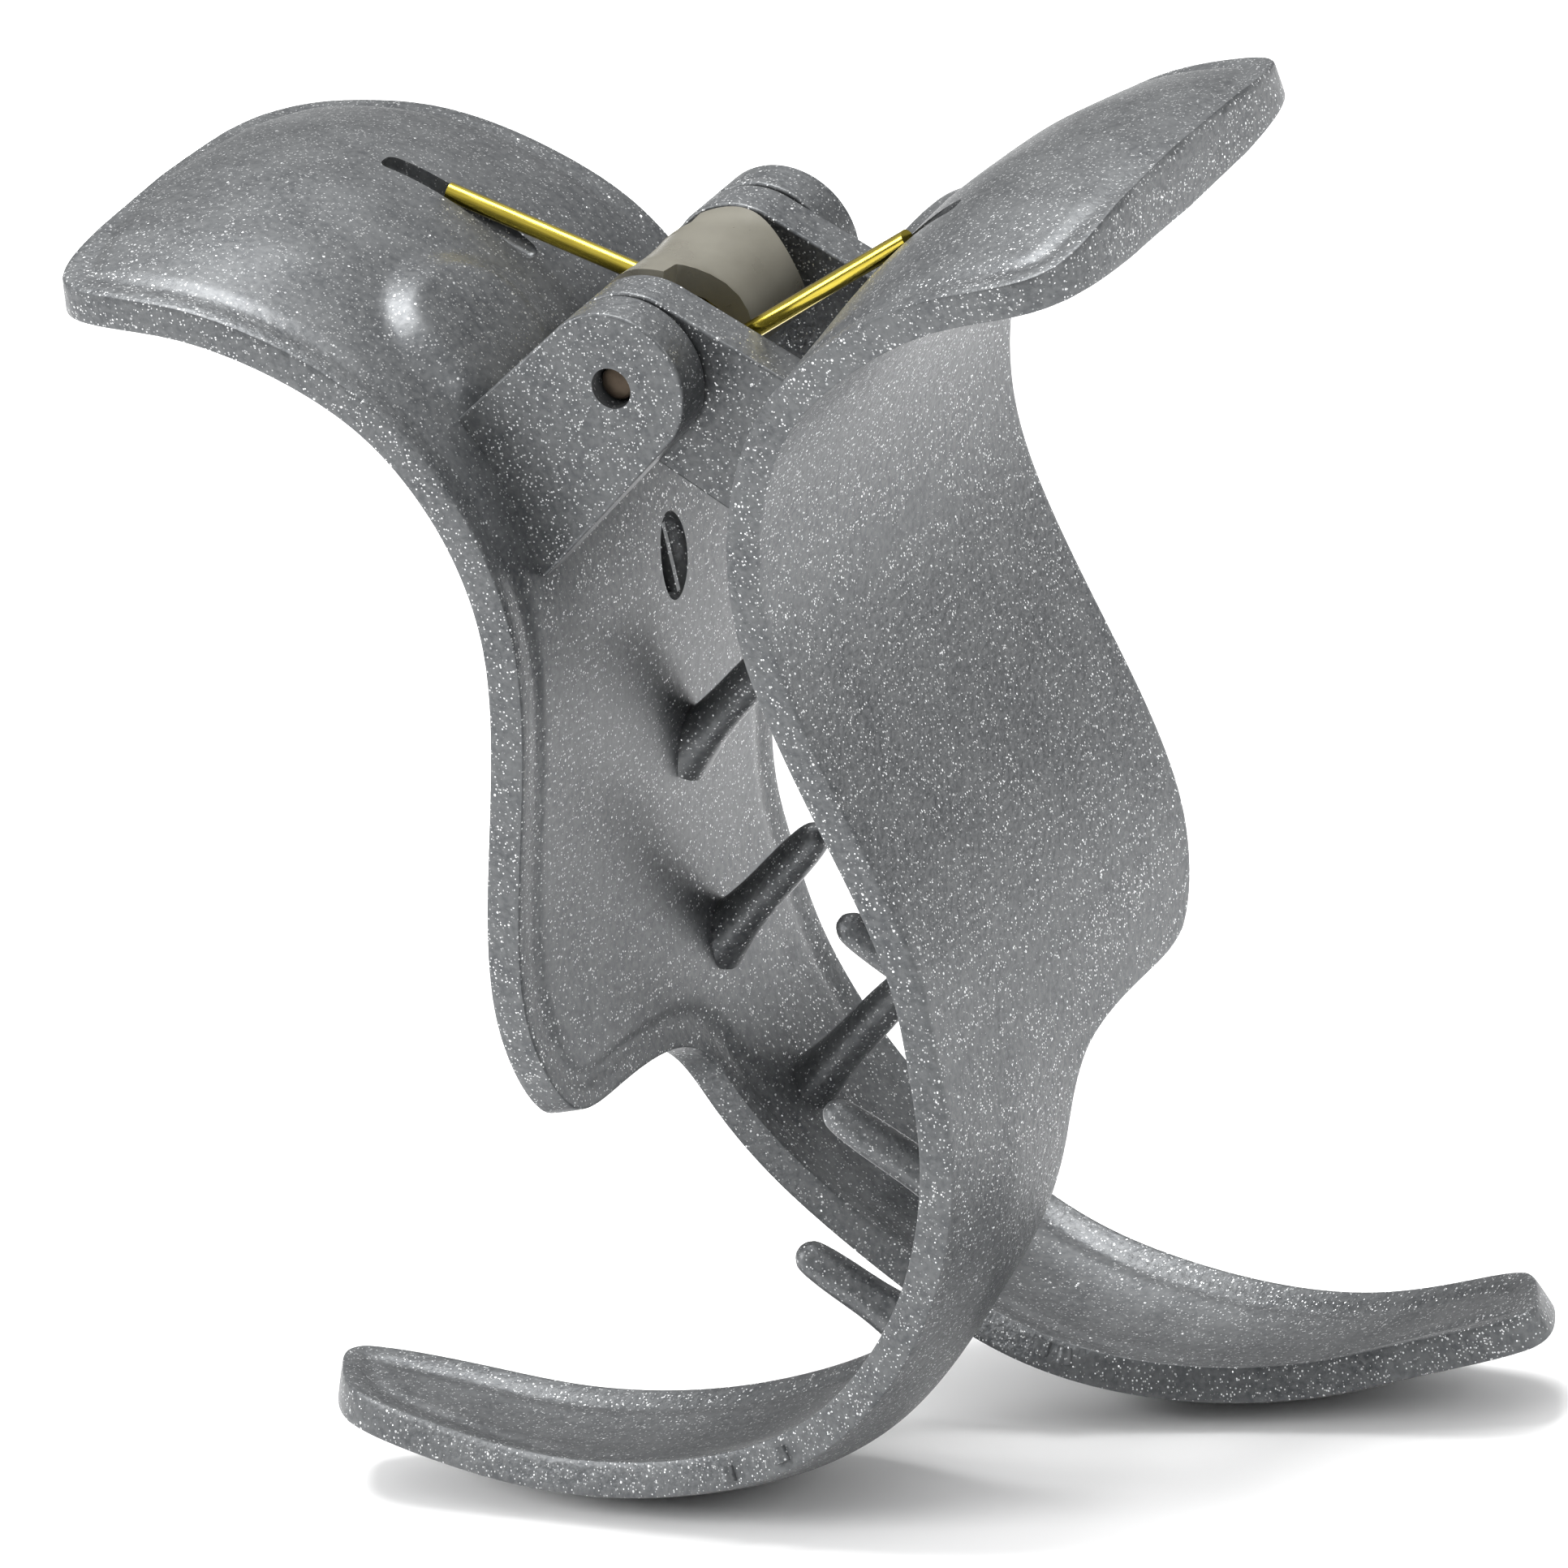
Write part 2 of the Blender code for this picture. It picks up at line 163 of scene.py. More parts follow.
def wall_sheet(name, levels):
    """The wall's middle as one smooth sheet, with its thickness held in a vertex group."""
    bm, shares, rows = bmesh.new(), [], list(BODY) + list(TAIL)

    def line(points, thick):
        made = []
        for k, p in enumerate(points):
            side = abs(2.0 * k / (len(points) - 1) - 1.0)
            shares.append((thick + (EDGE_WALL - thick) * side * side) / THICKEST)
            made.append(bm.verts.new(p))
        return made

    def strip(above, below):
        for j in range(len(below) - 1):
            bm.faces.new((above[j], above[j + 1], below[j + 1], below[j]))

    grid = [line(across(rows, i, 4), rows[i][6]) for i in range(len(BODY))]
    lobe = line([at(*p) for p in LOBE], 2.6)
    tail = line(across(rows, len(BODY), 2), TAIL[0][6])
    grid.append(lobe + tail)
    for above, below in zip(grid, grid[1:]):
        strip(above, below)
    for i in range(len(BODY) + 1, len(rows)):
        below = line(across(rows, i, 2), rows[i][6])
        strip(tail, below)
        tail = below
    strip(tail, line([at(*p) for p in TIP], EDGE_WALL))
    bmesh.ops.recalc_face_normals(bm, faces=bm.faces)
    sheet = put(name, bm)
    group = sheet.vertex_groups.new(name="wall")
    for i, share in enumerate(shares):
        group.add([i], share, "REPLACE")
    modify(sheet, "SUBSURF", levels=levels, render_levels=levels)
    return plain(sheet)


LEVELS = 3
middle = wall_sheet("wall_middle", LEVELS)
print("the sheet has", len(middle.data.vertices), "points")

# %% [markdown]
# ## Which side, and how far from the rim
# The moulding is a little smoother on the hair side and fullest of flakes along its
# rims. To tell these apart later, we ask the middle sheet two things about any point:
# which side of it the point lies on, and how far its border is.

# %% Side and rim finders
sheet_tree = BVHTree.FromPolygons(
    [v.co for v in middle.data.vertices], [list(p.vertices) for p in middle.data.polygons]
)
edge_uses = {}
for face in middle.data.polygons:
    for key in face.edge_keys:
        edge_uses[key] = edge_uses.get(key, 0) + 1
border = [key for key, uses in edge_uses.items() if uses == 1]
rim_points = []
for a, b in border:
    pa, pb = middle.data.vertices[a].co, middle.data.vertices[b].co
    rim_points += [pa.lerp(pb, f) for f in (0.0, 0.25, 0.5, 0.75)]
rim_tree = KDTree(len(rim_points))
for i, p in enumerate(rim_points):
    rim_tree.insert(p, i)
rim_tree.balance()

# the hair side is the side that faces the hinge's own upright plane at the waist
probe = at(-9.0, 0.0, -14.0)
spot, normal = sheet_tree.find_nearest(probe)[:2]
HAIR_SIGN = 1.0 if normal.x > 0 else -1.0


def side_of(p):
    """Distance from the middle sheet, positive on the hair side."""
    spot, normal = sheet_tree.find_nearest(p)[:2]
    return (p - spot).dot(normal) * HAIR_SIGN


def rim_distance(p):
    return rim_tree.find(p)[2]


print(len(border), "edges round the border, hair side sign", HAIR_SIGN)

# %% [markdown]
# ## From sheet to shell
# Solidify gives the sheet its changing wall and Bevel rounds the rims. After one more
# subdivision the hair side gets its moulded detail: a shallow valley that runs just
# inside the rim, and a round swelling on the handle beside the near ear.

# %% Thicken and shape the shell
VALLEY_AT, VALLEY_WIDE, VALLEY_DEEP = 2.3 * MM, 0.5 * MM, 0.22 * MM
SWELL_AT, SWELL_R, SWELL_FLANK, SWELL_HIGH = at(-12.9, -5.0, 0.9), 7.0 * MM, 2.6 * MM, 1.0 * MM


def shell(name):
    obj = bpy.data.objects.new(name, middle.data.copy())
    bpy.context.scene.collection.objects.link(obj)
    group = obj.vertex_groups.get("wall") or obj.vertex_groups.new(name="wall")
    modify(obj, "SOLIDIFY", thickness=THICKEST * MM, offset=0.0, use_even_offset=True,
           vertex_group=group.name)
    modify(obj, "BEVEL", width=0.32 * MM, segments=2, limit_method="ANGLE",
           angle_limit=math.radians(50.0))
    modify(obj, "SUBSURF", levels=1, render_levels=1)
    plain(obj)
    # every direction is read before any point moves, or each push would tilt the next
    facing = [v.normal.copy() for v in obj.data.vertices]
    for v, outward in zip(obj.data.vertices, facing):
        if side_of(v.co) < 0.3 * MM:
            continue
        d = rim_distance(v.co)
        push = -VALLEY_DEEP * math.exp(-((d - VALLEY_AT) / VALLEY_WIDE) ** 2)
        rise = min(max((SWELL_R - (v.co - SWELL_AT).length) / SWELL_FLANK, 0.0), 1.0)
        push += SWELL_HIGH * rise * rise * (3.0 - 2.0 * rise)
        v.co += outward * push
    return obj


jaw_wall = shell("jaw_wall")
print("wall:", len(jaw_wall.data.polygons), "faces")

# %% [markdown]
# ## Teeth that follow a rule
# Each tooth is a tapering peg that flares where it meets the wall and ends in a round
# tip. All of them share that rule, so one Geometry Nodes tree turns a set of short
# lines, root to tip, into teeth. Changing an input restyles every tooth at once.

# %% Nodes for the teeth
def group_input(tree, name, kind, value=None):
    socket = tree.interface.new_socket(name=name, in_out="INPUT", socket_type=kind)
    if value is not None:
        socket.default_value = value
    return socket.identifier


def teeth_nodes(finish):
    tree = bpy.data.node_groups.new("claw_teeth", "GeometryNodeTree")
    group_input(tree, "Lines", "NodeSocketGeometry")
    radius_id = group_input(tree, "Tooth radius", "NodeSocketFloat", 0.001)
    sides_id = group_input(tree, "Sides", "NodeSocketInt", 20)
    tree.interface.new_socket(name="Teeth", in_out="OUTPUT", socket_type="NodeSocketGeometry")
    new, link = tree.nodes.new, tree.links.new
    entry, leave = new("NodeGroupInput"), new("NodeGroupOutput")
    along, taper = new("GeometryNodeSplineParameter"), new("ShaderNodeFloatCurve")
    curve = taper.mapping.curves[0]
    curve.points[0].location, curve.points[1].location = (0.0, 1.0), (1.0, 0.02)
    for x, y in ((0.18, 0.80), (0.36, 0.67), (0.82, 0.58), (0.92, 0.51), (0.975, 0.33)):
        curve.points.new(x, y)
    taper.mapping.update()
    ring = new("GeometryNodeCurvePrimitiveCircle")
    ring.inputs["Radius"].default_value = 1.0
    scaled = new("ShaderNodeMath")
    scaled.operation = "MULTIPLY"
    body = new("GeometryNodeCurveToMesh")
    body.inputs["Fill Caps"].default_value = True
    real, paint = new("GeometryNodeRealizeInstances"), new("GeometryNodeSetMaterial")
    paint.inputs["Material"].default_value = finish
    link(along.outputs["Factor"], taper.inputs["Value"])
    link(taper.outputs["Value"], scaled.inputs[0])
    link(entry.outputs["Tooth radius"], scaled.inputs[1])
    link(entry.outputs["Lines"], body.inputs["Curve"])
    link(scaled.outputs[0], body.inputs["Scale"])
    link(entry.outputs["Sides"], ring.inputs["Resolution"])
    link(ring.outputs["Curve"], body.inputs["Profile Curve"])
    link(body.outputs["Mesh"], real.inputs["Geometry"])
    link(real.outputs["Geometry"], paint.inputs["Geometry"])
    link(paint.outputs["Geometry"], leave.inputs["Teeth"])
    return tree, radius_id, sides_id


print("a tooth keeps its flare over the first third of its length")

# %% [markdown]
# ## The sparkle plastic
# The plastic is mid-grey with fine metal flake stirred in. Flakes are single facets:
# each cell of a Voronoi pattern is one flake with its own brightness and its own tilt,
# so it catches the light or misses it. A soft noise clouds the grey between flakes, as
# moulded metallic plastic does, and a fine bump gives the skin of the tool.

# %% Shader helpers
def finish_tree(name):
    mat = bpy.data.materials.new(name)
    mat.use_nodes = True
    tree = mat.node_tree
    return mat, tree, tree.nodes["Principled BSDF"]


def maths(tree, kind, a, b=None, clamp=False):
    node = tree.nodes.new("ShaderNodeMath")
    node.operation, node.use_clamp = kind, clamp
    for i, value in enumerate((a, b)):
        if value is None:
            continue
        if isinstance(value, (int, float)):
            node.inputs[i].default_value = value
        else:
            tree.links.new(value, node.inputs[i])
    return node.outputs[0]


def span(tree, value, low, high, to_low=0.0, to_high=1.0):
    node = tree.nodes.new("ShaderNodeMapRange")
    tree.links.new(value, node.inputs["Value"])
    for key, number in (("From Min", low), ("From Max", high), ("To Min", to_low), ("To Max", to_high)):
        node.inputs[key].default_value = number
    return node.outputs["Result"]


def blend_colour(tree, share, first, second):
    node = tree.nodes.new("ShaderNodeMix")
    node.data_type = "RGBA"
    tree.links.new(share, node.inputs[0])
    for i, value in ((6, first), (7, second)):
        if isinstance(value, tuple):
            node.inputs[i].default_value = (*value, 1.0)
        else:
            tree.links.new(value, node.inputs[i])
    return node.outputs[2]


def noise(tree, place, scale, detail=3.0):
    node = tree.nodes.new("ShaderNodeTexNoise")
    tree.links.new(place, node.inputs["Vector"])
    node.inputs["Scale"].default_value = scale
    node.inputs["Detail"].default_value = detail
    return node.outputs["Fac"]


def attribute(tree, name):
    node = tree.nodes.new("ShaderNodeAttribute")
    node.attribute_name = name
    return node.outputs["Fac"]


print("shader helpers ready")

# %% Mix the sparkle plastic
DEEP_GREY, MID_GREY, GRAIN_GREY = (0.060, 0.064, 0.069), (0.104, 0.109, 0.113), (0.150, 0.155, 0.158)
FLAKE_SILVER = (0.90, 0.91, 0.915)
SMALL_FLAKES, LARGE_FLAKES = (7600.0, 0.17), (5000.0, 0.025)     # cells in a metre, share lit


def flakes(tree, place, scale, share):
    """Mask, brightness and tilt of one size of flake."""
    cells = tree.nodes.new("ShaderNodeTexVoronoi")
    tree.links.new(place, cells.inputs["Vector"])
    cells.inputs["Scale"].default_value = scale
    parts = tree.nodes.new("ShaderNodeSeparateColor")
    tree.links.new(cells.outputs["Color"], parts.inputs["Color"])
    chosen = maths(tree, "GREATER_THAN", parts.outputs["Red"], 1.0 - share)
    inside = span(tree, cells.outputs["Distance"], 0.50, 0.36)
    return maths(tree, "MULTIPLY", chosen, inside), parts.outputs["Green"], cells.outputs["Color"]


def sparkle_plastic(name):
    mat, tree, shader = finish_tree(name)
    link = tree.links.new
    place = tree.nodes.new("ShaderNodeTexCoord").outputs["Object"]
    hair_side, near_rim = attribute(tree, "hair_side"), attribute(tree, "near_rim")
    small, small_light, tilt = flakes(tree, place, *SMALL_FLAKES)
    large, large_light, _ = flakes(tree, place, *LARGE_FLAKES)
    cloud, grain = noise(tree, place, 260.0, 4.0), noise(tree, place, 2300.0, 2.0)
    grey = blend_colour(tree, span(tree, cloud, 0.3, 0.7), DEEP_GREY, MID_GREY)
    grey = blend_colour(tree, span(tree, grain, 0.35, 0.65, 0.0, 0.55), grey, GRAIN_GREY)
    # fewer flakes show on the smoother hair side, and more along the rims
    keep = maths(tree, "ADD", maths(tree, "MULTIPLY", hair_side, -0.25), 1.0)
    keep = maths(tree, "ADD", keep, maths(tree, "MULTIPLY", near_rim, 0.5), clamp=True)
    small_seen = maths(tree, "MULTIPLY", maths(tree, "MULTIPLY", small, small_light), keep)
    large_seen = maths(tree, "MULTIPLY", maths(tree, "MULTIPLY", large, large_light), keep)
    seen = maths(tree, "MAXIMUM", small_seen, large_seen)
    colour = blend_colour(tree, seen, grey, FLAKE_SILVER)
    link(colour, shader.inputs["Base Color"])
    link(span(tree, seen, 0.0, 1.0, 0.55, 0.95), shader.inputs["Metallic"])
    clouded = span(tree, cloud, 0.3, 0.7, 0.43, 0.50)
    skin = maths(tree, "ADD", maths(tree, "MULTIPLY", hair_side, -0.05), clouded)
    link(skin, shader.inputs["Roughness"])
    bump = tree.nodes.new("ShaderNodeBump")
    bump.inputs["Distance"].default_value = 0.0001
    # the smoother hair side keeps only a trace of the tool's grain
    link(maths(tree, "ADD", maths(tree, "MULTIPLY", hair_side, -0.6), 0.75), bump.inputs["Strength"])
    link(grain, bump.inputs["Height"])
    # each flake leans its own way
    lean = tree.nodes.new("ShaderNodeVectorMath")
    lean.operation = "SUBTRACT"
    link(tilt, lean.inputs[0])
    lean.inputs[1].default_value = (0.5, 0.5, 0.5)
    less = tree.nodes.new("ShaderNodeVectorMath")
    less.operation = "SCALE"
    link(lean.outputs[0], less.inputs[0])
    link(maths(tree, "MULTIPLY", seen, 1.0), less.inputs["Scale"])
    total = tree.nodes.new("ShaderNodeVectorMath")
    link(bump.outputs["Normal"], total.inputs[0])
    link(less.outputs[0], total.inputs[1])
    unit = tree.nodes.new("ShaderNodeVectorMath")
    unit.operation = "NORMALIZE"
    link(total.outputs[0], unit.inputs[0])
    link(unit.outputs[0], shader.inputs["Normal"])
    shader.inputs["Coat Weight"].default_value = 0.12
    shader.inputs["Coat Roughness"].default_value = 0.3
    shader.inputs["IOR"].default_value = 1.5
    return mat


plastic_left = sparkle_plastic("sparkle_plastic_left")
plastic_right = sparkle_plastic("sparkle_plastic_right")
print("two batches of plastic mixed")

# %% Grow the teeth
TEETH = ((-2.8, 5.0, -24.4), (-4.4, 7.2, -37.7), (-2.2, 10.1, -49.0), (0.5, 12.6, -57.5))
TOOTH_RISE, TOOTH_R = math.radians(38.0), 1.15 * MM


def teeth(wall):
    lean = Vector((math.cos(TOOTH_RISE), 0.0, math.sin(TOOTH_RISE)))
    surface = BVHTree.FromPolygons([v.co for v in wall.data.vertices],
                                   [list(p.vertices) for p in wall.data.polygons])
    curve = bpy.data.curves.new("tooth_lines", "CURVE")
    curve.dimensions = "3D"
    for tip in TEETH:
        end = at(*tip)
        root = surface.ray_cast(end, -lean)[0] - lean * 1.2 * MM
        # points crowd towards the tip, where the outline turns fastest
        fractions = [1.0 - (1.0 - i / 22.0) ** 1.7 for i in range(23)]
        spline = curve.splines.new("POLY")
        spline.points.add(len(fractions) - 1)
        for spot, f in zip(spline.points, fractions):
            spot.co = (*root.lerp(end, f), 1.0)
    obj = bpy.data.objects.new("tooth_lines", curve)
    bpy.context.scene.collection.objects.link(obj)
    tree, radius_id, sides_id = teeth_nodes(plastic_left)
    mod = obj.modifiers.new("teeth", "NODES")
    mod.node_group = tree
    mod[radius_id], mod[sides_id] = TOOTH_R * 1.8, 20
    deps = bpy.context.evaluated_depsgraph_get()
    mesh = bpy.data.meshes.new_from_object(obj.evaluated_get(deps), depsgraph=deps)
    bpy.data.objects.remove(obj)
    bm = bmesh.new()
    bm.from_mesh(mesh)
    bmesh.ops.remove_doubles(bm, verts=bm.verts, dist=0.000001)
    bmesh.ops.recalc_face_normals(bm, faces=bm.faces)
    return put("teeth", bm)


tooth_set = teeth(jaw_wall)
print("teeth:", len(tooth_set.data.polygons), "faces")

# %% [markdown]
# ## Ears, groove, pocket and bore
# Each jaw has two ears that carry the pin. An ear is a flat plate with a round end, and
# a small bevel takes the sting off its edges. The handle has a groove where the spring's
# leg beds down, and the wall has an oval pocket under the ears. All of these join or cut
# the wall with Booleans, as the steel of a mould would.

# %% Ears and cutters
LUG_R, LUG_OUT, LUG_T, LUG_GAP = 5.0, 11.9, 3.0, 0.3
TONGUE = ((-8.8, -13.2), (-12.6, -2.6))
LEG_Y = 4.75
LEFT_GATES = ((6.0, 1.9, -71.05), (7.8, 1.9, -70.8))
RIGHT_GATES = ((7.3, 15.7, -70.9), (2.6, 16.7, -69.2))
GATE_FOOT, GATE_TOP, GATE_DEEP, GATE_PROUD = 0.62, 0.5, 1.0, 0.1
GROOVE_ENDS, GROOVE_WIDE, GROOVE_DEEP = ((-13.6, 2.6), (-23.2, 8.7)), 1.7, 2.0
POCKET_AT, POCKET_HALF = (-8.0, 3.2, -17.5), (1.5, 1.7, 3.0)
FIN_AT, FIN_SIZE = (-8.9, 3.1, -17.5), (1.5, 0.4, 4.6)
BORE_R, BORE_LONG = 1.35, 28.0


def ear(y0, y1):
    outline = []
    for i in range(49):
        a = math.radians(126.0 - 173.0 * i / 48)
        outline.append((LUG_R * math.cos(a), LUG_R * math.sin(a)))
    bm = bmesh.new()
    face = bm.faces.new([bm.verts.new(at(x, y0, z)) for x, z in outline + list(TONGUE)])
    made = bmesh.ops.extrude_face_region(bm, geom=[face])
    bmesh.ops.translate(bm, vec=(0.0, (y1 - y0) * MM, 0.0),
                        verts=[v for v in made["geom"] if isinstance(v, bmesh.types.BMVert)])
    bmesh.ops.recalc_face_normals(bm, faces=bm.faces)
    obj = put("ear", bm)
    modify(obj, "BEVEL", width=0.22 * MM, segments=3, limit_method="ANGLE", angle_limit=math.radians(40.0))
    return plain(obj)


def groove():
    (x0, z0), (x1, z1) = GROOVE_ENDS
    bm = bmesh.new()
    bmesh.ops.create_cube(bm, size=1.0)
    size = (math.hypot(x1 - x0, z1 - z0) * MM, GROOVE_WIDE * MM, GROOVE_DEEP * MM)
    bmesh.ops.scale(bm, vec=size, verts=bm.verts)
    turn = Matrix.Rotation(math.atan2(z1 - z0, x0 - x1), 4, "Y")
    place = Matrix.Translation(at((x0 + x1) / 2, LEG_Y, (z0 + z1) / 2))
    bmesh.ops.transform(bm, matrix=place @ turn, verts=bm.verts)
    obj = put("groove", bm)
    modify(obj, "BEVEL", width=0.6 * MM, segments=4, limit_method="ANGLE")
    return plain(obj)


def pocket():
    bm = bmesh.new()
    bmesh.ops.create_uvsphere(bm, u_segments=40, v_segments=20, radius=1.0)
    size = Matrix.Diagonal([half * MM for half in POCKET_HALF] + [1.0])
    bmesh.ops.transform(bm, matrix=Matrix.Translation(at(*POCKET_AT)) @ size, verts=bm.verts)
    return put("pocket", bm)


def fin():
    """The thin upright web that divides the pocket."""
    bm = bmesh.new()
    bmesh.ops.create_cube(bm, size=1.0)
    bmesh.ops.scale(bm, vec=[side * MM for side in FIN_SIZE], verts=bm.verts)
    bmesh.ops.translate(bm, vec=at(*FIN_AT), verts=bm.verts)
    return put("fin", bm)


def gate_mark(spot):
    """The low round witness where plastic entered the mould, on the nearest wall."""
    foot, facing = sheet_tree.find_nearest(at(*spot))[:2]
    reach = (at(*spot) - foot).dot(facing)
    outward = facing if reach > 0 else -facing
    bm = bmesh.new()
    bmesh.ops.create_cone(bm, cap_ends=True, segments=28, radius1=GATE_FOOT * MM,
                          radius2=GATE_TOP * MM, depth=GATE_DEEP * MM)
    turn = outward.to_track_quat("Z", "Y").to_matrix().to_4x4()
    # most of the disc is sunk in the wall, and only its top stands proud
    surface = foot + outward * (abs(reach) + (GATE_PROUD - GATE_DEEP / 2) * MM)
    bmesh.ops.transform(bm, matrix=Matrix.Translation(surface) @ turn, verts=bm.verts)
    return put("gate_mark", bm)


def bore():
    bm = bmesh.new()
    bmesh.ops.create_cone(bm, cap_ends=True, segments=64, radius1=BORE_R * MM,
                          radius2=BORE_R * MM, depth=BORE_LONG * MM)
    bmesh.ops.transform(bm, matrix=Matrix.Translation(HINGE) @ Matrix.Rotation(math.pi / 2, 4, "X"),
                        verts=bm.verts)
    return put("bore", bm)


print("ears are", LUG_T, "mm thick")

# %% Join and cut one jaw
def combine(obj, helpers, operation):
    for helper in helpers:
        modify(obj, "BOOLEAN", operation=operation, object=helper, solver="EXACT")
    plain(obj)
    for helper in helpers:
        bpy.data.objects.remove(helper)
    return obj


def soften(obj, degrees=32.0):
    """Smooth shading, kept crisp where faces meet sharply."""
    bm = bmesh.new()
    bm.from_mesh(obj.data)
    bmesh.ops.remove_doubles(bm, verts=bm.verts, dist=0.000002)
    for f in bm.faces:
        f.smooth = True
    for e in bm.edges:
        e.smooth = not (len(e.link_faces) == 2 and e.calc_face_angle(0.0) > math.radians(degrees))
    bm.to_mesh(obj.data)
    bm.free()
    modify(obj, "WEIGHTED_NORMAL", keep_sharp=True, weight=60)
    return plain(obj)


def jaw(name, ears, gates, finish, half_turn):
    obj = bpy.data.objects.new(name, jaw_wall.data.copy())
    bpy.context.scene.collection.objects.link(obj)
    toothing = bpy.data.objects.new("toothing", tooth_set.data.copy())
    bpy.context.scene.collection.objects.link(toothing)
    combine(obj, [toothing] + [ear(a, b) for a, b in ears], "UNION")
    combine(obj, [groove(), pocket(), bore()], "DIFFERENCE")
    combine(obj, [fin()] + [gate_mark(spot) for spot in gates], "UNION")
    soften(obj)
    side = obj.data.attributes.new("hair_side", "FLOAT", "POINT")
    rim = obj.data.attributes.new("near_rim", "FLOAT", "POINT")
    for v in obj.data.vertices:
        d, s = rim_distance(v.co) / MM, side_of(v.co) / MM
        polished = min(max((s - 0.6) / 0.6, 0.0), 1.0) * min(max((d - 2.0) / 0.8, 0.0), 1.0)
        # a tooth stands well clear of the wall and keeps the flaky skin
        side.data[v.index].value = polished * min(max((4.6 - s) / 0.9, 0.1), 1.0)
        rim.data[v.index].value = min(max((2.6 - d) / 1.2, 0.0), 1.0)
    if half_turn:
        turn = Matrix.Translation(HINGE) @ Matrix.Rotation(math.pi, 4, "Z") @ Matrix.Translation(-HINGE)
        obj.data.transform(turn)
    obj.data.materials.clear()
    obj.data.materials.append(finish)
    for face in obj.data.polygons:
        face.material_index = 0
    return obj


inner = LUG_OUT - LUG_T - LUG_GAP
print("the inner ears end", round(inner, 2), "mm from the middle")
outer_ears = ((-LUG_OUT, LUG_T - LUG_OUT), (LUG_OUT - LUG_T, LUG_OUT))
inner_ears = ((-inner, LUG_T - inner), (inner - LUG_T, inner))
left = jaw("left_jaw_moulding", outer_ears, LEFT_GATES, plastic_left, False)
right = jaw("right_jaw_moulding", inner_ears, RIGHT_GATES, plastic_right, True)
for helper in (middle, jaw_wall, tooth_set):
    bpy.data.objects.remove(helper)
for piece, body, node, slot in ((left, "left", "left_jaw", "sparkle_plastic_left"),
                                (right, "right", "right_jaw", "sparkle_plastic_right")):
    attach(piece, body)
    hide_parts(node)
    print(piece.name, len(piece.data.vertices), "points",
          sum(len(f.vertices) - 2 for f in piece.data.polygons), "triangles")

# %% [markdown]
# ## The spring
# The spring is gilt wire: one leg lies in each handle's groove and the coil between them
# goes round the pin. It follows a path, so a Geometry Nodes tree sweeps a circle along it.

# %% Path of the wire
COIL_R, WIRE_R, COIL_TURNS, LEG_SLOPE, LEG_LEN = 2.05 * MM, 0.6 * MM, 7, math.radians(25.0), 20.0 * MM


def spring_path(per_turn=40):
    tangent = Vector((-math.cos(LEG_SLOPE), 0.0, -math.sin(LEG_SLOPE)))
    start = math.radians(-90.0) + LEG_SLOPE
    total = -(2.0 * math.pi * COIL_TURNS + 2.0 * LEG_SLOPE)
    steps = per_turn * COIL_TURNS
    coil = []
    for i in range(steps + 1):
        f = i / steps
        a = start + total * f
        place = (COIL_R * math.cos(a), LEG_Y * MM * (2.0 * f - 1.0), COIL_R * math.sin(a))
        coil.append(HINGE + Vector(place))
    away = Vector((-math.cos(LEG_SLOPE), 0.0, math.sin(LEG_SLOPE)))
    return [coil[0] - tangent * LEG_LEN] + coil + [coil[-1] + away * LEG_LEN]


wire_line = spring_path()
print("wire is", round(sum((a - b).length for a, b in zip(wire_line, wire_line[1:])) * 1000, 1), "mm long")

# %% Gilt finish
def gilt():
    mat, tree, shader = finish_tree("gilt_wire")
    link = tree.links.new
    around, along = attribute(tree, "around"), attribute(tree, "along")
    lines = tree.nodes.new("ShaderNodeCombineXYZ")
    link(maths(tree, "MULTIPLY", around, 9.0), lines.inputs["X"])
    link(maths(tree, "MULTIPLY", along, 0.12), lines.inputs["Y"])
    drawn = noise(tree, lines.outputs[0], 4.0, 3.0)
    link(blend_colour(tree, drawn, (0.26, 0.195, 0.018), (0.66, 0.54, 0.085)), shader.inputs["Base Color"])
    link(span(tree, drawn, 0.2, 0.8, 0.12, 0.26), shader.inputs["Roughness"])
    shader.inputs["Metallic"].default_value = 1.0
    return mat


gilt_wire = gilt()
print("gilt mixed")

